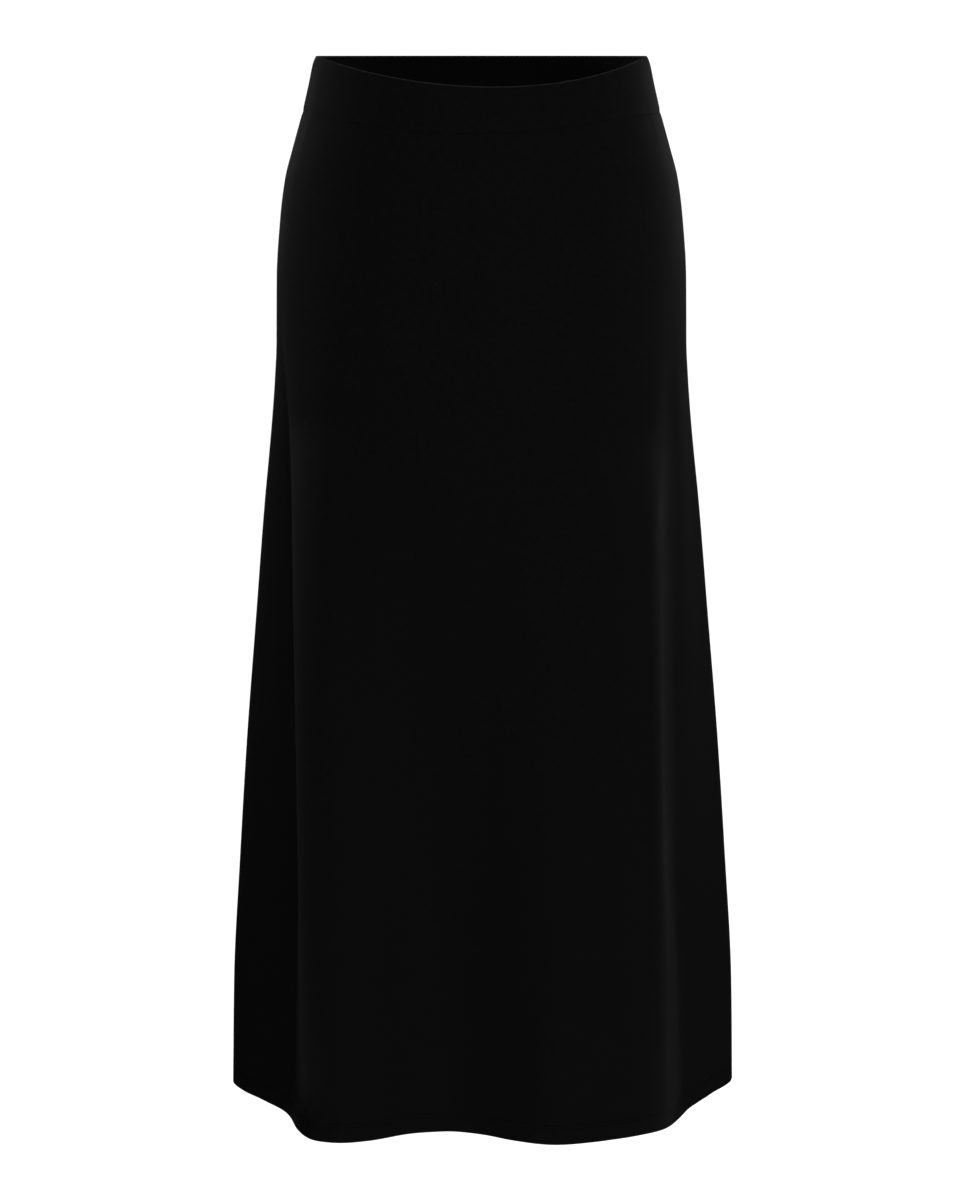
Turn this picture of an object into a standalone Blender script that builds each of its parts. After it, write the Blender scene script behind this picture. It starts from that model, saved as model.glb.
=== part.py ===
"""A pull-on A-line midi skirt in jersey, worn and filled out with no wearer.

Units are metres, +Z is up and the front faces -Y. The origin is the middle of the waist, half way
down the waistband at its sides. The skirt hangs from there as a hollow tube, open at waist and hem.

Every point of the cloth has a place round the skirt, `along`, and a drop below the waist's top edge.
`along` runs from 0 at the left side seam (-X) through the front to 1 at the right side seam (+X),
then through the back to 2, which is the left side seam again.
"""

import math
from collections import namedtuple

import bmesh
import bpy
from mathutils import Vector

# Driving sizes
LENGTH = 0.880  # from the waist's top edge at the back to the hem
BAND_HEIGHT = 0.046  # the waistband at the sides and back
RIM_DIP = 0.0245  # how much lower the top edge sits at the centre front
RIM_DIP_SHAPE = 2.2  # power of the cosine that the dip follows round the front
RIM_DIP_LEAN = math.radians(4)  # how far the lowest place lies to the right of the centre
SEAM_DIP = 0.0155  # the same three sizes for the seam between waistband and panel
SEAM_DIP_SHAPE = 3.0
SEAM_DIP_LEAN = math.radians(-4)
SQUARENESS = 0.020  # how far a section is from an ellipse towards a rounded box

CLOTH = 0.0015  # one layer of jersey
BAND_CLOTH = 0.0030  # the waistband's two layers and the elastic between them
HEM_CLOTH = 0.0028  # the panel and its turned-up hem
HEM_TURN_UP = 0.020
HEM_STEP = 0.0008  # over which the turn-up's raw edge steps in
SEAM_GAP = 0.0003

PANEL_COLUMNS = 44
PANEL_ROWS = 18
BAND_ROWS = 3
FOLD_STEPS = 3  # flats round the folded edge of a waistband
HEM_FOLD_STEPS = 2

TOP = BAND_HEIGHT / 2  # height of the waist's top edge above the origin

JERSEY_COLOUR = (0.0055, 0.0055, 0.0060)
JERSEY_ROUGHNESS = 0.85

# The worn form at each drop: half the width, the reach to the front and to the back, and how much
# of the way from the straight hang to the hem's outline the cloth has flared.
Section = namedtuple("Section", "drop half_width front back flare")
SECTIONS = (
    Section(0.0000, 0.1352, 0.0886, 0.0914, 0.000),
    Section(0.0035, 0.1369, 0.0898, 0.0929, 0.000),
    Section(0.0070, 0.1381, 0.0912, 0.0942, 0.000),
    Section(0.0220, 0.1411, 0.0950, 0.0985, 0.000),
    Section(0.046, 0.1470, 0.1000, 0.1040, 0.000),
    Section(0.076, 0.1555, 0.1050, 0.1120, 0.000),
    Section(0.100, 0.1618, 0.1070, 0.1170, 0.000),
    Section(0.133, 0.1662, 0.1090, 0.1220, 0.000),
    Section(0.183, 0.1696, 0.1110, 0.1260, 0.000),
    Section(0.233, 0.1700, 0.1120, 0.1270, 0.006),
    Section(0.266, 0.1700, 0.1120, 0.1270, 0.045),
    Section(0.300, 0.1700, 0.1120, 0.1270, 0.106),
    Section(0.333, 0.1700, 0.1120, 0.1270, 0.178),
    Section(0.367, 0.1700, 0.1120, 0.1270, 0.257),
    Section(0.470, 0.1700, 0.1120, 0.1270, 0.455),
    Section(0.573, 0.1700, 0.1120, 0.1270, 0.650),
    Section(0.678, 0.1700, 0.1120, 0.1270, 0.812),
    Section(0.784, 0.1700, 0.1120, 0.1270, 0.955),
    Section(0.880, 0.1700, 0.1120, 0.1270, 1.000),
)
HIP_DROP = 0.233

# The lines that the cloth hangs along, from the left seam round the front and back to it. `hip` is
# the line's distance round the hips from the last side seam, x and y are where it meets the hem, and
# the bows are how far it is pushed off a straight line half way down.
Line = namedtuple("Line", "name hip x y bow_x bow_y")
FRONT_LINES = (
    Line("left side lobe", 0.000, -0.2160, 0.0210, 0.000, 0.000),
    Line("left lobe front", 0.007, -0.2072, -0.0040, 0.000, -0.001),
    Line("left flank", 0.016, -0.1900, -0.0290, 0.002, 0.001),
    Line("left flank low", 0.027, -0.1695, -0.0590, 0.006, 0.007),
    Line("left valley", 0.034, -0.1605, -0.0820, 0.012, 0.010),
    Line("left ridge side", 0.042, -0.1530, -0.1125, 0.0055, -0.002),
    Line("left ridge", 0.068, -0.1395, -0.1395, -0.0055, -0.001),
    Line("front left crest", 0.092, -0.1175, -0.1473, -0.005, -0.001),
    Line("front left slope", 0.119, -0.0920, -0.1418, 0.000, 0.003),
    Line("front valley left", 0.156, -0.0590, -0.1238, 0.000, 0.003),
    Line("front valley", 0.187, -0.0290, -0.1175, 0.000, 0.001),
    Line("front valley right", 0.217, 0.0005, -0.1258, 0.000, 0.003),
    Line("front right slope", 0.248, 0.0270, -0.1415, 0.000, 0.005),
    Line("front right crest", 0.282, 0.0590, -0.1520, 0.000, 0.005),
    Line("front right flat", 0.317, 0.0925, -0.1450, 0.001, 0.003),
    Line("front right turn", 0.354, 0.1270, -0.1300, 0.002, -0.001),
    Line("right ridge", 0.386, 0.1510, -0.1125, -0.0045, -0.011),
    Line("right ridge side", 0.400, 0.1635, -0.0915, -0.007, -0.003),
    Line("right flank", 0.417, 0.1780, -0.0545, 0.001, -0.002),
    Line("right lobe front", 0.437, 0.2005, -0.0105, -0.001, 0.001),
)
BACK_LINES = (
    Line("right side lobe", 0.000, 0.2180, 0.0240, 0.000, 0.000),
    Line("right lobe back", 0.012, 0.2120, 0.0530, 0.000, 0.000),
    Line("right back valley", 0.030, 0.1910, 0.0760, -0.003, -0.003),
    Line("right back side", 0.048, 0.1750, 0.0990, -0.002, -0.001),
    Line("right back turn", 0.068, 0.1630, 0.1270, 0.002, 0.003),
    Line("right back crest", 0.092, 0.1420, 0.1460, 0.002, 0.002),
    Line("right back slope", 0.121, 0.1120, 0.1430, 0.000, -0.001),
    Line("right inner slope", 0.150, 0.0860, 0.1250, 0.000, -0.001),
    Line("right inner valley", 0.178, 0.0600, 0.1140, 0.000, 0.000),
    Line("centre slope right", 0.205, 0.0330, 0.1220, 0.000, -0.001),
    Line("centre shoulder", 0.229, 0.0120, 0.1420, 0.000, -0.003),
    Line("centre back crest", 0.253, -0.0140, 0.1510, 0.000, -0.003),
    Line("centre slope left", 0.278, -0.0400, 0.1410, 0.000, -0.001),
    Line("left inner slope", 0.302, -0.0620, 0.1220, 0.000, 0.000),
    Line("left inner valley", 0.328, -0.0880, 0.1170, 0.000, -0.001),
    Line("left back slope", 0.355, -0.1130, 0.1300, 0.000, -0.001),
    Line("left back crest", 0.380, -0.1370, 0.1450, -0.002, 0.002),
    Line("left back turn", 0.402, -0.1600, 0.1330, -0.002, 0.003),
    Line("left back side", 0.422, -0.1720, 0.1060, 0.002, -0.001),
    Line("left back valley", 0.441, -0.1880, 0.0800, 0.003, -0.003),
    Line("left lobe back", 0.461, -0.2090, 0.0540, 0.000, 0.000),
)
BOW_ONSET = 0.7  # power of the bow's rise below the hips, under 1 for folds that start at once


def smooth_steps(places, values):
    """A curve through a table's values that never overshoots between two rows."""
    gaps = [b - a for a, b in zip(places, places[1:])]
    slopes = [(b - a) / gap for a, b, gap in zip(values, values[1:], gaps)]
    tangents = [slopes[0]]
    for left, right in zip(slopes, slopes[1:]):
        tangents.append(2 * left * right / (left + right) if left * right > 0 else 0.0)
    tangents.append(slopes[-1])

    def at(place):
        place = min(max(place, places[0]), places[-1])
        row = 0
        while row < len(gaps) - 1 and place > places[row + 1]:
            row += 1
        gap = gaps[row]
        t = (place - places[row]) / gap
        return (
            values[row] * (1 + 2 * t) * (1 - t) ** 2
            + values[row + 1] * t * t * (3 - 2 * t)
            + gap * t * (1 - t) * (tangents[row] * (1 - t) - tangents[row + 1] * t)
        )

    return at


DROPS = [row.drop for row in SECTIONS]
half_width_at = smooth_steps(DROPS, [row.half_width for row in SECTIONS])
front_at = smooth_steps(DROPS, [row.front for row in SECTIONS])
back_at = smooth_steps(DROPS, [row.back for row in SECTIONS])
flare_at = smooth_steps(DROPS, [row.flare for row in SECTIONS])


def section_point(drop, angle):
    """The straight-hanging section at a drop. The angle is 0 at the front and a right angle at +X."""
    reach = front_at(drop) if math.cos(angle) > 0 else back_at(drop)
    across = math.sin(angle) + SQUARENESS * math.sin(3 * angle)
    ahead = math.cos(angle) - SQUARENESS * math.cos(3 * angle)
    return Vector((half_width_at(drop) * across, -reach * ahead)) / (1 - SQUARENESS)


def hip_angles(first, last, steps=360):
    """Distance round the hips from the first angle, as a curve that gives back the angle."""
    angles = [first + (last - first) * step / steps for step in range(steps + 1)]
    points = [section_point(HIP_DROP, angle) for angle in angles]
    distances = [0.0]
    for a, b in zip(points, points[1:]):
        distances.append(distances[-1] + (b - a).length)
    return smooth_steps(distances, angles), distances[-1]


class HemLines:
    """The hem's outline and the hanging lines, as smooth curves round the skirt."""

    def __init__(self):
        lines = FRONT_LINES + BACK_LINES
        count, front_count = len(lines), len(FRONT_LINES)
        self.points = [Vector((line.x, line.y)) for line in lines]
        ring = self.points + [self.points[0]]
        lengths = [(b - a).length for a, b in zip(ring, ring[1:])]
        front, back = sum(lengths[:front_count]), sum(lengths[front_count:])
        self.places = [0.0]
        for row, length in enumerate(lengths):
            share = length / (front if row < front_count else back)
            self.places.append(self.places[-1] + share)
        self.tangents = []
        for row in range(count):
            before, after = self.points[row - 1], self.points[(row + 1) % count]
            gap = self.place_gap(row - 1) + self.place_gap(row)
            self.tangents.append((after - before) / gap)
        side = math.pi / 2
        front_angle, front_hip = hip_angles(-side, side)
        back_angle, back_hip = hip_angles(side, 3 * side)
        angles = [front_angle(line.hip) for line in FRONT_LINES]
        angles += [back_angle(line.hip) for line in BACK_LINES]
        self.angle_at = smooth_steps(self.places, angles + [3 * side])
        closed = lines + lines[:1]
        self.bow_x_at = smooth_steps(self.places, [line.bow_x for line in closed])
        self.bow_y_at = smooth_steps(self.places, [line.bow_y for line in closed])
        print("hips %.3f m, hem %.3f m round" % (front_hip + back_hip, front + back))

    def place_gap(self, row):
        row %= len(self.points)
        return self.places[row + 1] - self.places[row]

    def hem_point(self, along):
        row = 0
        while row < len(self.points) - 1 and along > self.places[row + 1]:
            row += 1
        after = (row + 1) % len(self.points)
        gap = self.place_gap(row)
        t = (along - self.places[row]) / gap
        ends = self.points[row] * (1 + 2 * t) * (1 - t) ** 2 + self.points[after] * t * t * (3 - 2 * t)
        lean = self.tangents[row] * (1 - t) - self.tangents[after] * t
        return ends + lean * gap * t * (1 - t)


hem_lines = HemLines()


def front_dip(along, depth, shape, lean):
    """A dip that is nothing at the side seams and across the back, and deepest near the centre front."""
    angle = hem_lines.angle_at(along)
    return depth * max(0.0, math.cos(angle - lean * math.cos(angle))) ** shape


def rim_drop(along):
    """How far the waist's top edge lies below its highest part."""
    return front_dip(along, RIM_DIP, RIM_DIP_SHAPE, RIM_DIP_LEAN)


def seam_drop(along):
    """How far the waist seam lies below the waist's highest part."""
    return BAND_HEIGHT + front_dip(along, SEAM_DIP, SEAM_DIP_SHAPE, SEAM_DIP_LEAN)


def outside(along, drop):
    """A point of the cloth's outer face."""
    along %= 2
    angle = hem_lines.angle_at(along)
    hang = section_point(drop, angle)
    spread = hem_lines.hem_point(along) - section_point(HIP_DROP, angle)
    flare = flare_at(drop)
    bow = Vector((hem_lines.bow_x_at(along), hem_lines.bow_y_at(along)))
    place = hang + spread * flare + bow * (4 * flare * (1 - flare)) ** BOW_ONSET
    return Vector((place.x, place.y, TOP - drop))


def outward(along, drop, step=0.002):
    """The direction that the cloth's outer face looks in."""
    across = outside(along + step, drop) - outside(along - step, drop)
    down = outside(along, min(drop + step, LENGTH)) - outside(along, max(drop - step, 0.0))
    return down.cross(across).normalized()


def into_the_seam(along, drop, step=0.002):
    """The direction round the skirt, towards higher values of along."""
    return (outside(along + step, drop) - outside(along - step, drop)).normalized()


def edge_shift(column, last_column, along, drop):
    """Half the seam's gap, which keeps a panel's two side edges off its neighbour's."""
    if column == 0:
        return into_the_seam(along, drop) * SEAM_GAP / 2
    if column == last_column:
        return into_the_seam(along, drop) * -SEAM_GAP / 2
    return Vector((0.0, 0.0, 0.0))


def fold_points(outer, inner, lengthwise, steps):
    """Points round a folded edge, from the outer face to the inner one, bulging lengthwise."""
    middle = (outer + inner) / 2
    across = outer - middle
    bulge = lengthwise * across.length
    turns = [math.pi * step / steps for step in range(1, steps)]
    return [middle + across * math.cos(turn) + bulge * math.sin(turn) for turn in turns]


def panel_column(column, last_column, along):
    """One upright slice through a skirt panel: outer points down, hem fold, inner points up."""
    top = seam_drop(along) + SEAM_GAP / 2
    turn_up = LENGTH - HEM_TURN_UP
    fold_start = LENGTH - HEM_CLOTH / 2
    drops = [top + (turn_up - HEM_STEP - top) * row / PANEL_ROWS for row in range(PANEL_ROWS + 1)]
    walls = [CLOTH] * len(drops)
    drops += [turn_up, fold_start]
    walls += [HEM_CLOTH, HEM_CLOTH]
    outer, inner = [], []
    for drop, wall in zip(drops, walls):
        point = outside(along, drop) + edge_shift(column, last_column, along, drop)
        outer.append(point)
        inner.append(point - outward(along, drop) * wall)
    down = (outer[-1] - outer[-2]).normalized()
    return outer, fold_points(outer[-1], inner[-1], down, HEM_FOLD_STEPS + 1), inner, []


def band_column(column, last_column, along):
    """One upright slice through the waistband, which is folded over at its top edge."""
    fold_start = rim_drop(along) + BAND_CLOTH / 2
    bottom = seam_drop(along) - SEAM_GAP / 2
    outer, inner = [], []
    for row in range(BAND_ROWS + 1):
        drop = fold_start + (bottom - fold_start) * row / BAND_ROWS
        point = outside(along, drop) + edge_shift(column, last_column, along, drop)
        outer.append(point)
        inner.append(point - outward(along, drop) * BAND_CLOTH)
    up = (outer[0] - outer[1]).normalized()
    return outer, [], inner, fold_points(inner[0], outer[0], up, FOLD_STEPS + 1)


def matt_jersey(name):
    material = bpy.data.materials.new(name)
    material.use_nodes = True
    shader = material.node_tree.nodes["Principled BSDF"]
    shader.inputs["Base Color"].default_value = (*JERSEY_COLOUR, 1.0)
    shader.inputs["Roughness"].default_value = JERSEY_ROUGHNESS
    shader.inputs["Metallic"].default_value = 0.0
    return material


def wall(name, column_shape, first):
    """A closed wall of cloth from one side seam to the next, as slices bridged to their neighbours."""
    mesh = bpy.data.meshes.new(name)
    shape = bmesh.new()
    last_column = PANEL_COLUMNS
    slices = []
    for column in range(last_column + 1):
        parts = column_shape(column, last_column, first + column / last_column)
        slices.append([[shape.verts.new(point) for point in part] for part in parts])
    rings = [outer + hem + inner[::-1] + rim for outer, hem, inner, rim in slices]
    for ring, after in zip(rings, rings[1:]):
        for a, b in zip(range(len(ring)), [*range(1, len(ring)), 0]):
            shape.faces.new((ring[a], ring[b], after[b], after[a]))
    for (outer, hem, inner, rim), flip in ((slices[0], True), (slices[-1], False)):
        caps = [(outer[a], outer[a + 1], inner[a + 1], inner[a]) for a in range(len(outer) - 1)]
        if hem:
            caps.append((outer[-1], *hem, inner[-1]))
        if rim:
            caps.append((inner[0], *rim, outer[0]))
        for cap in caps:
            shape.faces.new(cap[::-1] if flip else cap)
    bmesh.ops.recalc_face_normals(shape, faces=shape.faces)
    shape.to_mesh(mesh)
    shape.free()
    mesh.shade_smooth()
    mesh.set_sharp_from_angle(angle=math.radians(50))
    mesh.materials.append(matt_jersey(name + "_jersey"))
    piece = bpy.data.objects.new(name, mesh)
    bpy.context.scene.collection.objects.link(piece)
    return piece


for old in list(bpy.data.objects):
    bpy.data.objects.remove(old)

wall("front_panel", panel_column, 0.0)
wall("back_panel", panel_column, 1.0)
wall("front_waistband", band_column, 0.0)
wall("back_waistband", band_column, 1.0)
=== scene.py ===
import math
from collections import namedtuple

import bpy
import numpy as np
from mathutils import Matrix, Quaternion, Vector


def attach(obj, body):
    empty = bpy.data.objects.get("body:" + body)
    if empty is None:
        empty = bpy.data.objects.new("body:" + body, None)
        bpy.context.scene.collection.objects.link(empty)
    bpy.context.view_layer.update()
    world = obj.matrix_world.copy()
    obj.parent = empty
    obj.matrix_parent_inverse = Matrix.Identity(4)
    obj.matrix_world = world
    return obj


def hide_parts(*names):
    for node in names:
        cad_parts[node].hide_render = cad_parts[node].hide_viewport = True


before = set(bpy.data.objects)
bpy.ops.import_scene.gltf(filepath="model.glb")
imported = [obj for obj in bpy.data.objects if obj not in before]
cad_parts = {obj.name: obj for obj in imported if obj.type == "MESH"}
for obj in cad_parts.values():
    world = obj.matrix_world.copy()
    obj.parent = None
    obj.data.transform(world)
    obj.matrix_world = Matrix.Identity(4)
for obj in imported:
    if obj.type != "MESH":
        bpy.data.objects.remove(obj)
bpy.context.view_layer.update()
bpy.ops.object.select_all(action="DESELECT")

# camera: a long lens at waist height, looking slightly down

cameraView = {
    "lens": 100.0,  # millimetres, as the sensor's width
    "sensor": 36.0,
    "place": (0.0017, -2.770, 0.023),
    "tiltDegrees": 9.287,
    "farthest": 200.0,
}


def addCamera(view):
    bpy.ops.object.camera_add(location=view["place"])
    camera = bpy.context.object
    camera.name = "photoCamera"
    camera.rotation_euler = (math.radians(90 - view["tiltDegrees"]), 0.0, 0.0)
    camera.data.lens = view["lens"]
    camera.data.sensor_width = view["sensor"]
    camera.data.clip_end = view["farthest"]
    bpy.context.scene.camera = camera


addCamera(cameraView)

# studio: a white room, broad soft lamps in front, small ones beside, behind and above the skirt

studio = {
    "floorHeight": -1.30,
    "floorSize": 60.0,
    "floorColour": (0.98, 0.98, 0.98),
    "grain": 9.0,  # scale of the noise that varies the floor's roughness
    "roughLow": 0.9,
    "roughHigh": 1.0,
    "roomColour": (1.0, 1.0, 1.0),
    "roomStrength": 1.08,
}
# places and sizes in metres, spread and roll in degrees, power in watts
Lamp = namedtuple("Lamp", "name place aim size spread power")
lamps = (
    Lamp("front", (0.3, -3.2, 1.2), (0.0, 0.0, -0.35), 1.5, 180, 84.0),
    Lamp("frontRight", (1.55, -2.85, 1.0), (0.0, 0.0, -0.35), 1.0, 180, 20.0),
    Lamp("keyRight", (1.9, -2.3, 0.5), (0.0, 0.0, -0.35), 1.5, 180, 32.0),
    Lamp("low", (1.0, -2.8, -0.8), (0.0, 0.0, -0.55), 1.2, 180, 24.0),
    Lamp("hipLeft", (-0.9, 1.05, 0.05), (-0.12, 0.0, -0.15), 0.4, 34, 0.8),
    Lamp("sideLeft", (-1.5, 0.55, 0.30), (-0.10, 0.0, -0.08), 0.5, 40, 6.7),
    Lamp("hipRight", (0.9, 1.05, 0.05), (0.12, 0.0, -0.15), 0.4, 34, 0.9),
    Lamp("hipRightLow", (1.3, 0.9, 0.0), (0.15, 0.0, -0.13), 0.4, 26, 1.0),
    Lamp("sideRight", (1.5, 0.55, 0.30), (0.10, 0.0, -0.08), 0.5, 50, 5.6),
    Lamp("wallRight", (1.5, 0.6, -0.45), (0.2, 0.0, -0.45), 0.8, 120, 9.0),
    Lamp("overRim", (0.0, 0.9, 2.2), (0.0, -0.05, 0.0), 0.4, 12, 7.0),
)
Strip = namedtuple("Strip", "name place aim width height spread roll power")
strips = (  # narrow beams that skim the two long ridges
    Strip("ridgeRight", (1.736, 0.133, -0.575), (0.153, -0.088, -0.575), 0.010, 0.58, 1.8, -3.2, 0.205),
    Strip("ridgeLeft", (-1.740, 0.092, -0.55), (-0.152, -0.101, -0.55), 0.010, 0.55, 1.8, 6.3, 0.130),
)


def newMaterial(name):
    material = bpy.data.materials.new(name)
    material.use_nodes = True
    return material, material.node_tree.nodes, material.node_tree.links


def varyColour(nodes, links, shader, noise, spec):  # the noise mixes two tones
    colour = nodes.new("ShaderNodeValToRGB")
    tones = (spec["dark"], spec["light"])
    for element, place, tone in zip(colour.color_ramp.elements, spec["tonePlaces"], tones):
        element.position = place
        element.color = (*tone, 1.0)
    links.new(noise.outputs["Fac"], colour.inputs["Fac"])
    links.new(colour.outputs["Color"], shader.inputs["Base Color"])


def varyRoughness(nodes, links, shader, noise, spec):
    rough = nodes.new("ShaderNodeMapRange")
    rough.inputs["To Min"].default_value = spec["roughLow"]
    rough.inputs["To Max"].default_value = spec["roughHigh"]
    links.new(noise.outputs["Fac"], rough.inputs["Value"])
    links.new(rough.outputs["Result"], shader.inputs["Roughness"])


def addLight(row, width, height, roll=0.0):
    turn = (Vector(row.aim) - Vector(row.place)).to_track_quat("-Z", "Y")
    turn = turn @ Quaternion((0.0, 0.0, 1.0), math.radians(roll))
    bpy.ops.object.light_add(type="AREA", location=row.place, rotation=turn.to_euler())
    light = bpy.context.object
    light.name = row.name
    light.data.shape = "RECTANGLE"
    light.data.size = width
    light.data.size_y = height
    light.data.spread = math.radians(row.spread)
    light.data.energy = row.power


def addStudio(room):
    bpy.ops.mesh.primitive_plane_add(size=room["floorSize"], location=(0, 0, room["floorHeight"]))
    floor = bpy.context.object
    floor.name = "studioFloor"
    material, nodes, links = newMaterial("palePaper")
    paper = nodes["Principled BSDF"]
    grain = nodes.new("ShaderNodeTexNoise")
    grain.inputs["Scale"].default_value = room["grain"]
    varyRoughness(nodes, links, paper, grain, room)
    paper.inputs["Base Color"].default_value = (*room["floorColour"], 1.0)
    floor.data.materials.append(material)
    world = bpy.data.worlds.new("whiteRoom")
    world.use_nodes = True
    sky = world.node_tree.nodes["Background"]
    sky.inputs["Color"].default_value = (*room["roomColour"], 1.0)
    sky.inputs["Strength"].default_value = room["roomStrength"]
    bpy.context.scene.world = world
    bpy.context.scene.view_settings.view_transform = "Standard"


addStudio(studio)
for lamp in lamps:
    addLight(lamp, lamp.size, lamp.size)
for strip in strips:
    addLight(strip, strip.width, strip.height, strip.roll)
print("camera and studio set")

# the skirt's form: a place round it, `along` (0 to 1 front, 1 to 2 back), and a drop below the rim

form = {
    "length": 0.880,
    "bandHeight": 0.046,
    "rimDip": (0.0245, 2.2, math.radians(4)),  # depth, power of the cosine and lean to the right
    "seamDip": (0.0155, 3.0, math.radians(-4)),
    "squareness": 0.020,
    "hipDrop": 0.233,
    "bowOnset": 0.7,
    "cloth": 0.0015,
    "bandCloth": 0.0030,
    "hemCloth": 0.0028,
    "hemTurnUp": 0.020,
    "seamGap": 0.00016,
    "seamRoll": 0.00045,  # how far the edges roll into the seams
    "seamRollReach": 0.0025,
    "seamLean": 0.25,  # seams lean through the wall, so that none lets light through
    "seamLeanReach": 0.0035,
    "hipPlaces": 361,  # points that measure half the hips, and any half of the skirt
    "girthPlaces": 121,
    "step": 0.002,  # round or down the skirt, over which the face's directions are measured
    "sharpDegrees": 50.0,  # edges that bend by more stay sharp
}
topHeight = form["bandHeight"] / 2

# half the width and the reach to front and back, then how far the cloth has flared to the hem's line
Section = namedtuple("Section", "drop halfWidth front back flare")
sections = (
    Section(0.0000, 0.1352, 0.0886, 0.0914, 0.000),
    Section(0.0035, 0.1369, 0.0898, 0.0929, 0.000),
    Section(0.0070, 0.1381, 0.0912, 0.0942, 0.000),
    Section(0.0220, 0.1411, 0.0950, 0.0985, 0.000),
    Section(0.046, 0.1470, 0.1000, 0.1040, 0.000),
    Section(0.076, 0.1555, 0.1050, 0.1120, 0.000),
    Section(0.100, 0.1618, 0.1070, 0.1170, 0.000),
    Section(0.133, 0.1662, 0.1090, 0.1220, 0.000),
    Section(0.183, 0.1696, 0.1110, 0.1260, 0.000),
    Section(0.233, 0.1700, 0.1120, 0.1270, 0.006),
    Section(0.266, 0.1700, 0.1120, 0.1270, 0.045),
    Section(0.300, 0.1700, 0.1120, 0.1270, 0.106),
    Section(0.333, 0.1700, 0.1120, 0.1270, 0.178),
    Section(0.367, 0.1700, 0.1120, 0.1270, 0.257),
    Section(0.470, 0.1700, 0.1120, 0.1270, 0.455),
    Section(0.573, 0.1700, 0.1120, 0.1270, 0.650),
    Section(0.678, 0.1700, 0.1120, 0.1270, 0.812),
    Section(0.784, 0.1700, 0.1120, 0.1270, 0.955),
    Section(0.880, 0.1700, 0.1120, 0.1270, 1.000),
)

# lines that the cloth hangs along: hip is the distance round the hips from the last side seam, x and y
# are at the hem, and the bows push the line off straight half way down
Line = namedtuple("Line", "name hip x y bowX bowY")
frontLines = (
    Line("left side lobe", 0.000, -0.2160, 0.0210, 0.000, 0.000),
    Line("left lobe front", 0.007, -0.2072, -0.0040, 0.000, -0.001),
    Line("left flank", 0.016, -0.1900, -0.0290, 0.002, 0.001),
    Line("left flank low", 0.027, -0.1695, -0.0590, 0.006, 0.007),
    Line("left valley", 0.034, -0.1605, -0.0820, 0.012, 0.010),
    Line("left ridge side", 0.042, -0.1530, -0.1125, 0.0055, -0.002),
    Line("left ridge", 0.068, -0.1395, -0.1395, -0.0055, -0.001),
    Line("front left crest", 0.092, -0.1175, -0.1473, -0.005, -0.001),
    Line("front left slope", 0.119, -0.0920, -0.1418, 0.000, 0.003),
    Line("front valley left", 0.156, -0.0590, -0.1238, 0.000, 0.003),
    Line("front valley", 0.187, -0.0290, -0.1175, 0.000, 0.001),
    Line("front valley right", 0.217, 0.0005, -0.1258, 0.000, 0.003),
    Line("front right slope", 0.248, 0.0270, -0.1415, 0.000, 0.005),
    Line("front right crest", 0.282, 0.0590, -0.1520, 0.000, 0.005),
    Line("front right flat", 0.317, 0.0925, -0.1450, 0.001, 0.003),
    Line("front right turn", 0.354, 0.1270, -0.1300, 0.002, -0.001),
    Line("right ridge", 0.386, 0.1510, -0.1125, -0.0045, -0.011),
    Line("right ridge side", 0.400, 0.1635, -0.0915, -0.007, -0.003),
    Line("right flank", 0.417, 0.1780, -0.0545, 0.001, -0.002),
    Line("right lobe front", 0.437, 0.2005, -0.0105, -0.001, 0.001),
)
backLines = (
    Line("right side lobe", 0.000, 0.2180, 0.0240, 0.000, 0.000),
    Line("right lobe back", 0.012, 0.2120, 0.0530, 0.000, 0.000),
    Line("right back valley", 0.030, 0.1910, 0.0760, -0.003, -0.003),
    Line("right back side", 0.048, 0.1750, 0.0990, -0.002, -0.001),
    Line("right back turn", 0.068, 0.1630, 0.1270, 0.002, 0.003),
    Line("right back crest", 0.092, 0.1420, 0.1460, 0.002, 0.002),
    Line("right back slope", 0.121, 0.1120, 0.1430, 0.000, -0.001),
    Line("right inner slope", 0.150, 0.0860, 0.1250, 0.000, -0.001),
    Line("right inner valley", 0.178, 0.0600, 0.1140, 0.000, 0.000),
    Line("centre slope right", 0.205, 0.0330, 0.1220, 0.000, -0.001),
    Line("centre shoulder", 0.229, 0.0120, 0.1420, 0.000, -0.003),
    Line("centre back crest", 0.253, -0.0140, 0.1510, 0.000, -0.003),
    Line("centre slope left", 0.278, -0.0400, 0.1410, 0.000, -0.001),
    Line("left inner slope", 0.302, -0.0620, 0.1220, 0.000, 0.000),
    Line("left inner valley", 0.328, -0.0880, 0.1170, 0.000, -0.001),
    Line("left back slope", 0.355, -0.1130, 0.1300, 0.000, -0.001),
    Line("left back crest", 0.380, -0.1370, 0.1450, -0.002, 0.002),
    Line("left back turn", 0.402, -0.1600, 0.1330, -0.002, 0.003),
    Line("left back side", 0.422, -0.1720, 0.1060, 0.002, -0.001),
    Line("left back valley", 0.441, -0.1880, 0.0800, 0.003, -0.003),
    Line("left lobe back", 0.461, -0.2090, 0.0540, 0.000, 0.000),
)


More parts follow.
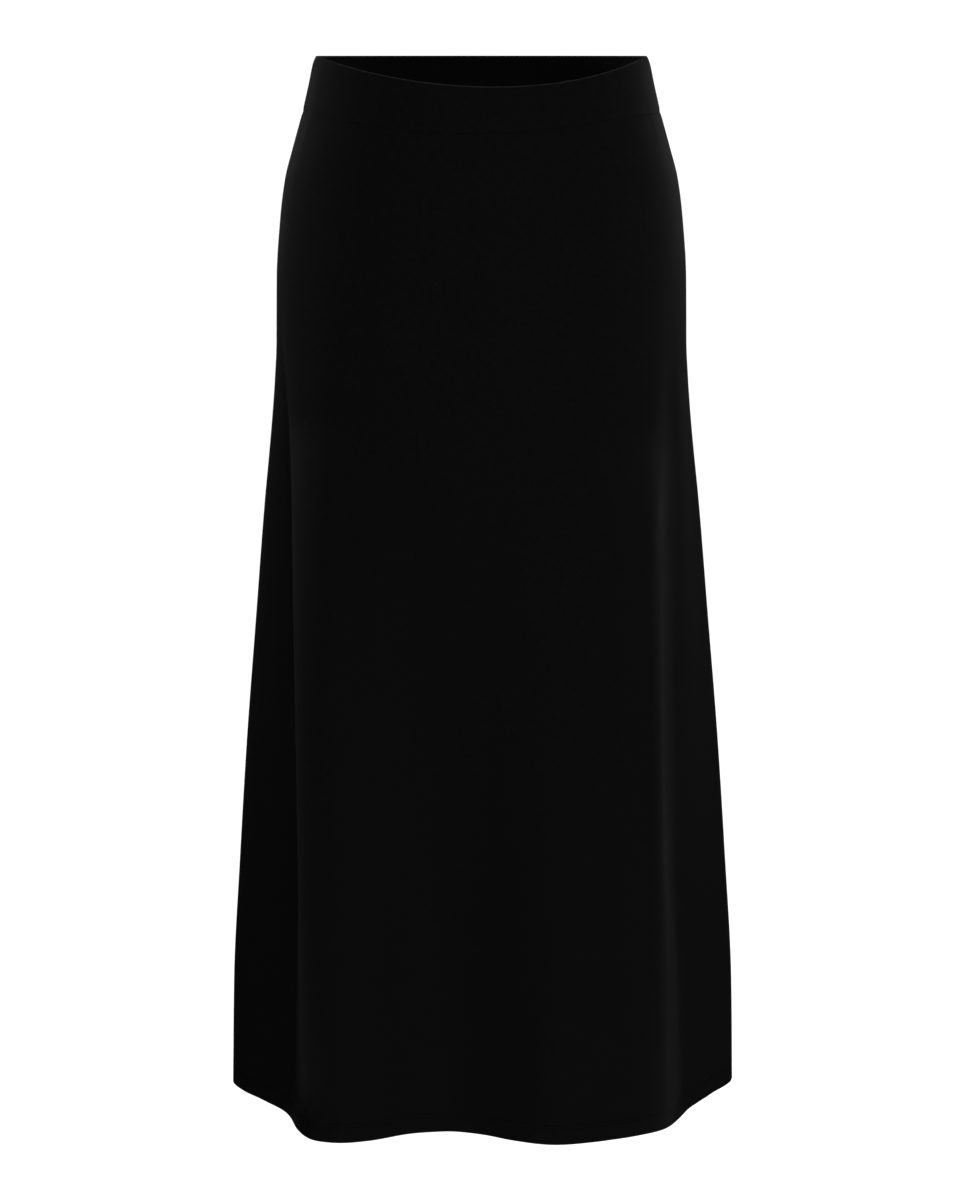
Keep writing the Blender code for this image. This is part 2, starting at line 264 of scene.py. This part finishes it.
def smoothSteps(places, values):  # a curve through a table's values, with no overshoot between rows
    places, values = np.array(places, float), np.array(values, float)
    gaps = np.diff(places)
    slopes = np.diff(values) / gaps
    before, after = slopes[:-1], slopes[1:]
    total = np.where(before + after == 0, 1.0, before + after)
    inner = np.where(before * after > 0, 2 * before * after / total, 0.0)
    tangents = np.concatenate(([slopes[0]], inner, [slopes[-1]]))

    def at(place):
        place = np.clip(place, places[0], places[-1])
        row = np.clip(np.searchsorted(places, place) - 1, 0, len(gaps) - 1)
        gap = gaps[row]
        t = (place - places[row]) / gap
        ends = values[row] * (1 + 2 * t) * (1 - t) ** 2 + values[row + 1] * t * t * (3 - 2 * t)
        return ends + gap * t * (1 - t) * (tangents[row] * (1 - t) - tangents[row + 1] * t)

    return at


sectionDrops = [row.drop for row in sections]
halfWidthAt = smoothSteps(sectionDrops, [row.halfWidth for row in sections])
frontAt = smoothSteps(sectionDrops, [row.front for row in sections])
backAt = smoothSteps(sectionDrops, [row.back for row in sections])
flareAt = smoothSteps(sectionDrops, [row.flare for row in sections])


def sectionPoint(drop, angle):  # the angle is 0 at the front and a right angle at +X
    reach = np.where(np.cos(angle) > 0, frontAt(drop), backAt(drop))
    square = form["squareness"]
    across = np.sin(angle) + square * np.sin(3 * angle)
    ahead = np.cos(angle) - square * np.cos(3 * angle)
    return halfWidthAt(drop) * across / (1 - square), -reach * ahead / (1 - square)


def hipAngles(first, last):  # from a distance round the hips to the angle there
    angles = np.linspace(first, last, form["hipPlaces"])
    x, y = sectionPoint(form["hipDrop"], angles)
    distances = np.concatenate(([0.0], np.cumsum(np.hypot(np.diff(x), np.diff(y)))))
    return smoothSteps(distances, angles)


allLines = frontLines + backLines
hemPoints = np.array([(line.x, line.y) for line in allLines])
hemSteps = np.hypot(*(np.roll(hemPoints, -1, axis=0) - hemPoints).T)
frontHem = hemSteps[: len(frontLines)].sum()
backHem = hemSteps[len(frontLines) :].sum()
hemShares = hemSteps / np.where(np.arange(len(allLines)) < len(frontLines), frontHem, backHem)
linePlaces = np.concatenate(([0.0], np.cumsum(hemShares)))
hemSpans = hemShares + np.roll(hemShares, 1)
hemTangents = (np.roll(hemPoints, -1, axis=0) - np.roll(hemPoints, 1, axis=0)) / hemSpans[:, None]
frontAngleAt = hipAngles(-math.pi / 2, math.pi / 2)
backAngleAt = hipAngles(math.pi / 2, 3 * math.pi / 2)
lineAngles = [float(frontAngleAt(line.hip)) for line in frontLines]
lineAngles += [float(backAngleAt(line.hip)) for line in backLines] + [3 * math.pi / 2]
angleAt = smoothSteps(linePlaces, lineAngles)
closedLines = allLines + allLines[:1]
bowXAt = smoothSteps(linePlaces, [line.bowX for line in closedLines])
bowYAt = smoothSteps(linePlaces, [line.bowY for line in closedLines])


def hemPoint(along):  # a smooth closed curve through the points of the hem
    row = np.clip(np.searchsorted(linePlaces, along) - 1, 0, len(allLines) - 1)
    after = (row + 1) % len(allLines)
    gap = hemShares[row][..., None]
    t = (along - linePlaces[row])[..., None] / gap
    startShare = (1 + 2 * t) * (1 - t) ** 2
    endShare = t * t * (3 - 2 * t)
    ends = hemPoints[row] * startShare + hemPoints[after] * endShare
    turns = hemTangents[row] * (1 - t) - hemTangents[after] * t
    return ends + turns * (gap * t * (1 - t))


def frontDip(along, depth, shape, lean):  # nothing at the sides and back, deepest near the centre front
    angle = angleAt(along % 2)
    return depth * np.maximum(0, np.cos(angle - lean * np.cos(angle))) ** shape


def rimDrop(along):
    return frontDip(along, *form["rimDip"])


def seamDrop(along):
    return form["bandHeight"] + frontDip(along, *form["seamDip"])


def plainFace(along, drop):  # the cloth's outer face before its small creases
    along = np.asarray(along, float) % 2
    angle = angleAt(along)
    x, y = sectionPoint(drop, angle)
    hipX, hipY = sectionPoint(form["hipDrop"], angle)
    hem = hemPoint(along)
    flare = flareAt(drop)
    bow = (4 * flare * (1 - flare)) ** form["bowOnset"]
    x = x + (hem[..., 0] - hipX) * flare + bowXAt(along) * bow
    y = y + (hem[..., 1] - hipY) * flare + bowYAt(along) * bow
    return np.stack([x, y, topHeight - np.broadcast_to(drop, x.shape)], axis=-1)


def unit(vectors):
    return vectors / np.linalg.norm(vectors, axis=-1, keepdims=True)


def faceRuns(along, drop, step):  # how the face runs round the skirt and down it
    across = plainFace(along + step, drop) - plainFace(along - step, drop)
    lower, upper = np.minimum(drop + step, form["length"]), np.maximum(drop - step, 0.0)
    return across, plainFace(along, lower) - plainFace(along, upper)


def plainOutward(along, drop):
    across, down = faceRuns(along, drop, form["step"])
    return unit(np.cross(down, across))


def alongAndUp(along, drop):  # directions in the cloth, round it and up it
    across, down = faceRuns(along, drop, form["step"])
    return unit(across), unit(-down)


def fade(distance, reach):  # 1 at a line and next to nothing at twice the reach from it
    return np.exp(-((distance / reach) ** 2))


# soft creases: place and slant along the skirt, reach down it, width and depth in metres
Crease = namedtuple("Crease", "name along lean start end width depth")
creases = (
    Crease("front left tension", 0.335, 0.010, 0.150, 0.560, 0.020, -0.0006),
    Crease("front middle hollow", 0.470, -0.012, 0.070, 0.300, 0.040, -0.0008),
    Crease("front right tension", 0.640, -0.006, 0.180, 0.620, 0.022, -0.0007),
    Crease("front left hem ripple", 0.385, 0.000, 0.760, 0.905, 0.011, 0.0008),
    Crease("front centre hem ripple", 0.440, 0.002, 0.775, 0.905, 0.009, 0.0013),
    Crease("front right hem ripple", 0.590, 0.010, 0.740, 0.905, 0.018, 0.0020),
    Crease("front far right ripple", 0.690, 0.003, 0.750, 0.905, 0.010, -0.0007),
    Crease("right ridge edge", 0.764, 0.002, 0.280, 0.960, 0.009, 0.0008),
    Crease("right flank hollow", 0.840, 0.012, 0.300, 0.960, 0.026, -0.0050),
    Crease("left flank soft fold", 0.090, -0.004, 0.500, 0.860, 0.014, -0.0008),
    Crease("seat hollow right", 1.330, 0.012, 0.260, 0.560, 0.026, -0.0012),
    Crease("seat hollow left", 1.680, -0.010, 0.280, 0.600, 0.024, -0.0011),
    Crease("back tension", 1.500, 0.006, 0.150, 0.420, 0.030, -0.0008),
    Crease("back hem ripple right", 1.300, 0.002, 0.760, 0.905, 0.012, 0.0008),
    Crease("back hem ripple centre", 1.560, -0.002, 0.780, 0.905, 0.010, 0.0007),
    Crease("back hem ripple left", 1.720, 0.003, 0.760, 0.905, 0.013, -0.0008),
)
# about half the girth high up and its gain to the hem, and the power that rounds off a crease's ends
creaseForm = {"girth": 0.45, "girthGain": 0.18, "endPower": 1.5}
ripple = {"seamDepth": 0.00022, "seamReach": 0.022, "hemDepth": 0.00030, "hemReach": 0.030}
RippleWave = namedtuple("RippleWave", "turns phase share")
rippleWaves = (RippleWave(19, 0.4, 0.5), RippleWave(31, 2.1, 0.3), RippleWave(47, 4.4, 0.2))


def rippleHeight(along):  # the small waves that stitching leaves in the cloth
    return sum(wave.share * np.sin(math.pi * wave.turns * along + wave.phase) for wave in rippleWaves)


def creaseDepth(along, drop, belowSeam):
    girth = creaseForm["girth"] + creaseForm["girthGain"] * np.clip(drop / form["length"], 0, 1)
    depth = np.zeros(np.broadcast(along, drop).shape)
    for crease in creases:
        share = np.clip((drop - crease.start) / (crease.end - crease.start), 0, 1)
        away = (along - (crease.along + crease.lean * share)) * girth
        ends = np.sin(math.pi * share) ** creaseForm["endPower"]
        depth += crease.depth * fade(away, crease.width) * ends
    waves = rippleHeight(along)
    depth += ripple["seamDepth"] * waves * fade(belowSeam, ripple["seamReach"])
    return depth + ripple["hemDepth"] * waves * fade(form["length"] - drop, ripple["hemReach"])


# cloth shells: closed walls on a fine grid, with the flat cut as their UV map in metres

panelSpec = {
    "columns": 150,
    "rows": 190,
    # the grid's first lines beside a seam and its last rows above the hem's edge, closer at the stitches
    "seamOffsets": (0.0, 0.0003, 0.0008, 0.0016, 0.0030, 0.0055, 0.0066, 0.0074, 0.0100),
    "hemOffsets": (0.0208, 0.0200, 0.0182, 0.0172, 0.0166, 0.0160, 0.0154, 0.0145, 0.0136, 0.0130,
                   0.0124, 0.0110, 0.0070, 0.0035),
    "allowance": 0.0070,
    "allowanceCloth": 0.0023,
    "slack": 0.00001,  # which counts the turn-up's first row as a part of it
    "stitchRows": (0.0130, 0.0160),
    "stitchGroove": 0.00034,
    "stitchGrooveReach": 0.0006,
    "foldSteps": 8,
}


def seamRollDepth(distance):
    return form["seamRoll"] * fade(distance, form["seamRollReach"])


def seamLap(distance, depth):  # how far a point inside the wall moves along the cloth beside a seam
    return form["seamLean"] * depth * fade(distance, form["seamLeanReach"])


def sideGap(shape):  # half the seam's gap, at the two side edges
    gap = np.zeros(shape)
    gap[:, 0], gap[:, -1] = form["seamGap"] / 2, -form["seamGap"] / 2
    return gap[..., None]


def halfGirths(drops, first):
    places = np.linspace(first, first + 1, form["girthPlaces"])
    rings = plainFace(places[None, :], drops[:, None])
    return np.linalg.norm(np.diff(rings, axis=1), axis=2).sum(axis=1)


def edgeColumns(spec, girths):  # places along for each row, closer together beside the side seams
    offsets = np.array(spec["seamOffsets"])
    side = offsets[None, :] / girths[:, None]
    middle = np.linspace(0, 1, spec["columns"] - 2 * len(offsets) + 2)[1:-1]
    span = 1 - 2 * side[:, -1:]
    return np.concatenate([side, side[:, -1:] + middle * span, 1 - side[:, ::-1]], axis=1)


def sideCaps(ring, count, turned):  # faces that close a wall at a side seam
    last = len(ring) - 1
    caps = [[ring[a], ring[a + 1], ring[last - a - 1], ring[last - a]] for a in range(count - 1)]
    if len(ring) > 2 * count:
        caps.append(ring[count - 1 : len(ring) - count + 1])
    return [cap[::-1] if turned else cap for cap in caps]


def newPiece(name, mesh):
    piece = bpy.data.objects.new(name, mesh)
    bpy.context.scene.collection.objects.link(piece)
    return piece


def finishWall(piece):  # turns the faces outwards and smooths them
    bpy.context.view_layer.objects.active = piece
    piece.select_set(True)
    bpy.ops.object.mode_set(mode="EDIT")
    bpy.ops.mesh.select_all(action="SELECT")
    bpy.ops.mesh.normals_make_consistent(inside=False)
    bpy.ops.object.mode_set(mode="OBJECT")
    bpy.ops.object.shade_smooth_by_angle(angle=math.radians(form["sharpDegrees"]))
    piece.select_set(False)


def closedWall(name, outer, fold, inner, uvWidth):  # its rows run down outside, round the fold, up inside
    rows = np.concatenate([outer, fold, inner[::-1]], axis=0)
    ringLength, columns = rows.shape[:2]
    steps = np.linalg.norm(np.diff(rows, axis=0), axis=2)
    down = np.concatenate([np.zeros((1, columns)), np.cumsum(steps, axis=0)], axis=0)
    uvs = np.stack([np.broadcast_to(uvWidth, rows.shape[:2]), -down], axis=-1)
    index = np.arange(ringLength * columns).reshape(ringLength, columns)
    after = np.roll(index, -1, axis=0)
    quads = np.stack([index[:, :-1], after[:, :-1], after[:, 1:], index[:, 1:]], axis=-1)
    faces = quads.reshape(-1, 4).tolist()
    faces += sideCaps(index[:, 0].tolist(), len(outer), True)
    faces += sideCaps(index[:, -1].tolist(), len(outer), False)
    mesh = bpy.data.meshes.new(name)
    mesh.from_pydata(rows.reshape(-1, 3).tolist(), [], faces)
    layer = mesh.uv_layers.new(name="cut")
    corners = np.zeros(len(mesh.loops), dtype=np.int32)
    mesh.loops.foreach_get("vertex_index", corners)
    layer.data.foreach_set("uv", uvs.reshape(-1, 2)[corners].ravel())
    piece = newPiece(name, mesh)
    finishWall(piece)
    return piece


def foldRows(start, end, lengthwise, steps):  # a half round from one face to the other
    middle, across = (start + end) / 2, (start - end) / 2
    bulge = lengthwise * np.linalg.norm(across, axis=-1, keepdims=True)
    turns = np.linspace(0, math.pi, steps + 1)[1:-1]
    return np.stack([middle + across * math.cos(turn) + bulge * math.sin(turn) for turn in turns])


def panelGrid(first, spec):  # each point's share of the way across and its drop, and each row's girth
    topOffsets = np.array(spec["seamOffsets"]) + form["seamGap"] / 2
    hemOffsets = np.array(spec["hemOffsets"])
    seamMean = float(seamDrop(np.linspace(first, first + 1, spec["columns"])).mean())
    bodyEnd = form["length"] - hemOffsets[0]
    span = np.linspace(0, 1, spec["rows"] - len(topOffsets) - len(hemOffsets) + 1)[1:]
    body = seamMean + topOffsets[-1] + (bodyEnd - seamMean - topOffsets[-1]) * span
    foldStart = form["length"] - form["hemCloth"] / 2
    rowDrops = np.concatenate([seamMean + topOffsets, body, form["length"] - hemOffsets[1:], [foldStart]])
    girths = halfGirths(rowDrops, first)
    share = edgeColumns(spec, girths)
    seam = seamDrop(first + share)
    drop = np.repeat(rowDrops[:, None], share.shape[1], axis=1)
    topRows = slice(0, len(topOffsets))
    bodyRows = slice(len(topOffsets), len(topOffsets) + len(span))
    bodyStart = seam[bodyRows] + topOffsets[-1]
    drop[topRows] = seam[topRows] + topOffsets[:, None]
    drop[bodyRows] = bodyStart + (bodyEnd - bodyStart) * span[:, None]
    return share, drop, girths


def clothPanel(name, first, spec):
    share, drop, girths = panelGrid(first, spec)
    along = first + share
    belowSeam = drop - seamDrop(along)
    fromSide = np.minimum(share, 1 - share) * girths[:, None]
    aboveHem = form["length"] - drop
    outward = plainOutward(along, drop)
    sideways, upward = alongAndUp(along, drop)
    base = plainFace(along, drop) + sideways * sideGap(along.shape)
    lift = creaseDepth(along, drop, belowSeam)
    roll = seamRollDepth(fromSide) + seamRollDepth(belowSeam)
    for height in spec["stitchRows"]:
        roll = roll + spec["stitchGroove"] * fade(aboveHem - height, spec["stitchGrooveReach"])
    doubled = (fromSide < spec["allowance"]) | (belowSeam < spec["allowance"])
    wall = np.where(doubled, spec["allowanceCloth"], form["cloth"])
    wall = np.where(aboveHem < form["hemTurnUp"] + spec["slack"], form["hemCloth"], wall)
    outer = base + outward * (lift - np.minimum(roll, form["seamRoll"]))[..., None]
    inner = base + outward * (lift - wall)[..., None]
    inner += sideways * seamLap(fromSide, wall)[..., None]
    inner += upward * seamLap(belowSeam, wall)[..., None]
    down = unit(outer[-1] - outer[-2])
    fold = foldRows(outer[-1], inner[-1], down, spec["foldSteps"])
    widths = (share - 0.5) * girths[:, None]
    uvWidth = np.concatenate([widths, np.repeat(widths[-1:], len(fold), axis=0), widths[::-1]])
    return closedWall(name, outer, fold, inner, uvWidth)


bandSpec = {
    "columns": 170,
    "rows": 26,
    "girthDrop": 0.04,  # where the strip's length is measured
    "ply": 0.0008,
    "seamOffsets": (0.0, 0.0003, 0.0008, 0.0016, 0.0030, 0.0055),
    "foldSteps": 10,
    "crown": 0.0004,
    "rippleReach": 0.012,
}


def clothBand(name, first, spec):  # a strip of jersey folded over at the rim, with room for elastic
    offsets = np.array(spec["seamOffsets"])
    girth = float(halfGirths(np.array([spec["girthDrop"]]), first)[0])
    share = edgeColumns(spec, np.full(spec["rows"], girth))
    along = first + share
    start = rimDrop(along) + form["bandCloth"] / 2
    end = seamDrop(along) - form["seamGap"] / 2
    rows = spec["rows"] - len(offsets)
    steps = np.linspace(0, 1, rows + 1)[:-1]
    upperDrops = start[:rows] + (end - offsets[-1] - start)[:rows] * steps[:, None]
    drop = np.concatenate([upperDrops, end[: len(offsets)] - offsets[::-1, None]])
    level = (drop - start) / (end - start)
    fromSide = np.minimum(share, 1 - share) * girth
    aboveSeam = end - drop
    outward = plainOutward(along, drop)
    sideways, upward = alongAndUp(along, drop)
    base = plainFace(along, drop) + sideways * sideGap(along.shape)
    lap = sideways * seamLap(fromSide, 1.0)[..., None] + upward * seamLap(aboveSeam, 1.0)[..., None]
    roll = np.minimum(seamRollDepth(fromSide) + seamRollDepth(aboveSeam), form["seamRoll"])
    crown = spec["crown"] * np.sin(math.pi * np.clip(level, 0, 1))
    crown += ripple["seamDepth"] * rippleHeight(along) * fade(aboveSeam, spec["rippleReach"])
    outside = base + outward * (crown - roll)[..., None]
    outsideBack = outside + (lap - outward) * spec["ply"]
    inside = base + (lap - outward) * form["bandCloth"]
    insideBack = inside - (lap - outward) * spec["ply"]
    up = unit(outside[0] - outside[1])
    turnOut = foldRows(inside[0], outside[0], up, spec["foldSteps"])
    turnIn = foldRows(insideBack[0], outsideBack[0], up, spec["foldSteps"])
    # the strip's outer skin runs up the inside, over the rim and down the outside
    skin = np.concatenate([inside[::-1], turnOut, outside])
    lining = np.concatenate([insideBack[::-1], turnIn, outsideBack])
    return closedWall(name, skin, skin[:0], lining, (share[0] - 0.5) * girth)


frontPanel = clothPanel("frontPanelCloth", 0.0, panelSpec)
backPanel = clothPanel("backPanelCloth", 1.0, panelSpec)
frontBand = clothBand("frontWaistbandCloth", 0.0, bandSpec)
backBand = clothBand("backWaistbandCloth", 1.0, bandSpec)
for piece, node in (
    (frontPanel, "front_panel"),
    (backPanel, "back_panel"),
    (frontBand, "front_waistband"),
    (backBand, "back_waistband"),
):
    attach(piece, "root")
    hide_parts(node)
print("cloth walls made")

# twin-needle hem: two rows of stitches outside, the looper thread zigzagging inside

stitchSpec = {
    "length": 0.0030,
    "gap": 0.0005,
    "width": 0.00055,
    "height": 0.00030,
    "sink": 0.00006,
    "segments": 6,
    "rings": 4,
    "hemPlaces": 1201,  # points that measure the way along half the hem
    "step": 0.001,  # over which its direction is measured
}


def oneStitch(spec):
    bpy.ops.mesh.primitive_uv_sphere_add(segments=spec["segments"], ring_count=spec["rings"], radius=1.0)
    stitch = bpy.context.object
    bpy.ops.object.mode_set(mode="EDIT")
    bpy.ops.transform.rotate(value=math.pi / 2, orient_axis="Y", center_override=(0, 0, 0))
    bpy.ops.transform.resize(value=((spec["length"] - spec["gap"]) / 2, spec["width"] / 2, spec["height"]))
    bpy.ops.object.mode_set(mode="OBJECT")
    points = np.array([vertex.co[:] for vertex in stitch.data.vertices])
    faces = [list(face.vertices) for face in stitch.data.polygons]
    bpy.data.objects.remove(stitch)
    return points, faces


stitchPoints, stitchFaces = oneStitch(stitchSpec)


def hemWalk(first, height):  # places along the hem, one for each stitch
    places = np.linspace(first, first + 1, stitchSpec["hemPlaces"])
    points = plainFace(places, np.full(places.shape, form["length"] - height))
    distance = np.concatenate(([0.0], np.cumsum(np.linalg.norm(np.diff(points, axis=0), axis=1))))
    count = int(distance[-1] / stitchSpec["length"])
    return np.interp((np.arange(count) + 0.5) * distance[-1] / count, distance, places)


def faceAt(along, drop, inward):  # a point of the creased cloth at a depth, and the way out of it
    outward = plainOutward(along, drop)
    lift = creaseDepth(along, drop, drop - seamDrop(along)) - inward
    return plainFace(along, drop) + outward * lift[..., None], outward


def stitchRun(name, starts, ends, outward):
    middles, runs = (starts + ends) / 2, unit(ends - starts)
    sides = unit(np.cross(outward, runs))
    outward = np.cross(runs, sides)
    lengths = np.linalg.norm(ends - starts, axis=1) / stitchSpec["length"]
    points = (
        middles[:, None, :]
        + stitchPoints[None, :, 0:1] * lengths[:, None, None] * runs[:, None, :]
        + stitchPoints[None, :, 1:2] * sides[:, None, :]
        + stitchPoints[None, :, 2:3] * outward[:, None, :]
    )
    firstCorners = range(0, len(stitchPoints) * len(middles), len(stitchPoints))
    faces = [[corner + start for corner in face] for start in firstCorners for face in stitchFaces]
    mesh = bpy.data.meshes.new(name)
    mesh.from_pydata(points.reshape(-1, 3).tolist(), [], faces)
    mesh.shade_smooth()
    piece = newPiece(name, mesh)
    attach(piece, "root")
    return piece


def hemStitches(name, first):
    starts, ends, outs = [], [], []
    half = stitchSpec["length"] / 2
    for height in panelSpec["stitchRows"]:
        along = hemWalk(first, height)
        drop = np.full(along.shape, form["length"] - height)
        middle, outward = faceAt(along, drop, panelSpec["stitchGroove"] - stitchSpec["sink"])
        run = unit(faceRuns(along, drop, stitchSpec["step"])[0])
        starts.append(middle - run * half)
        ends.append(middle + run * half)
        outs.append(outward)
    low, high = panelSpec["stitchRows"]
    along = hemWalk(first, high)
    wall = form["hemCloth"] + stitchSpec["sink"]
    heights = np.where(np.arange(len(along)) % 2 == 0, low, high)
    zigzag, outward = faceAt(along, form["length"] - heights, wall)
    starts.append(zigzag[:-1])
    ends.append(zigzag[1:])
    outs.append(-outward[:-1])
    piece = stitchRun(name, np.concatenate(starts), np.concatenate(ends), np.concatenate(outs))
    return piece


frontStitches = hemStitches("frontHemStitches", 0.0)
backStitches = hemStitches("backHemStitches", 1.0)
print("hem stitched")

# materials: matt black jersey with its knit as a fine bump, and darker thread

jerseySpec = {
    "dark": (0.00118, 0.00118, 0.00122),
    "light": (0.00138, 0.00138, 0.00142),
    "tonePlaces": (0.35, 0.65),
    "mottle": 260.0,
    "mottleDetail": 3.0,
    "roughLow": 0.42,
    "roughHigh": 0.48,
    "specular": 0.0001,
    "wale": 0.00095,  # from one column of loops to the next, and from one row to the next
    "course": 0.00075,
    "slant": 1.6,
    "waleShare": 0.65,
    "courseShare": 0.22,
    "bump": 0.00006,
    "bumpStrength": 0.5,
}


def jersey(name, spec):
    material, nodes, links = newMaterial(name)
    cloth = nodes["Principled BSDF"]
    cut = nodes.new("ShaderNodeUVMap")
    cut.uv_map = "cut"
    mottle = nodes.new("ShaderNodeTexNoise")
    mottle.inputs["Scale"].default_value = spec["mottle"]
    mottle.inputs["Detail"].default_value = spec["mottleDetail"]
    links.new(cut.outputs["UV"], mottle.inputs["Vector"])
    varyColour(nodes, links, cloth, mottle, spec)
    varyRoughness(nodes, links, cloth, mottle, spec)

    def mathNode(operation, *values):
        node = nodes.new("ShaderNodeMath")
        node.operation = operation
        for socket, value in zip(node.inputs, values):
            if isinstance(value, float):
                socket.default_value = value
            else:
                links.new(value, socket)
        return node.outputs[0]

    split = nodes.new("ShaderNodeSeparateXYZ")
    links.new(cut.outputs["UV"], split.inputs["Vector"])
    across = mathNode("MULTIPLY", split.outputs["X"], math.pi / spec["wale"])
    down = mathNode("MULTIPLY", split.outputs["Y"], 2 * math.pi / spec["course"])
    wale = mathNode("ABSOLUTE", mathNode("SINE", across))
    slant = mathNode("MULTIPLY", wale, spec["slant"])
    course = mathNode("SINE", mathNode("ADD", down, slant))
    waleHeight = mathNode("MULTIPLY", wale, spec["waleShare"])
    courseHeight = mathNode("MULTIPLY", course, spec["courseShare"])
    knit = nodes.new("ShaderNodeBump")
    knit.inputs["Distance"].default_value = spec["bump"]
    knit.inputs["Strength"].default_value = spec["bumpStrength"]
    links.new(mathNode("ADD", waleHeight, courseHeight), knit.inputs["Height"])
    links.new(knit.outputs["Normal"], cloth.inputs["Normal"])
    cloth.inputs["Specular IOR Level"].default_value = spec["specular"]
    return material


threadSpec = {
    "dark": (0.0006, 0.0006, 0.0006),
    "light": (0.0009, 0.0009, 0.0009),
    "tonePlaces": (0.0, 1.0),
    "fibre": 1500.0,
    "rough": 0.45,
    "specular": 0.0001,
}


def thread(name, spec):
    material, nodes, links = newMaterial(name)
    yarn = nodes["Principled BSDF"]
    place = nodes.new("ShaderNodeTexCoord")
    fibre = nodes.new("ShaderNodeTexNoise")
    fibre.inputs["Scale"].default_value = spec["fibre"]
    links.new(place.outputs["Object"], fibre.inputs["Vector"])
    varyColour(nodes, links, yarn, fibre, spec)
    yarn.inputs["Roughness"].default_value = spec["rough"]
    yarn.inputs["Specular IOR Level"].default_value = spec["specular"]
    return material


blackJersey = jersey("mattBlackJersey", jerseySpec)
for piece in (frontPanel, backPanel, frontBand, backBand):
    piece.data.materials.append(blackJersey)
blackThread = thread("blackThread", threadSpec)
for piece in (frontStitches, backStitches):
    piece.data.materials.append(blackThread)
print("materials set")
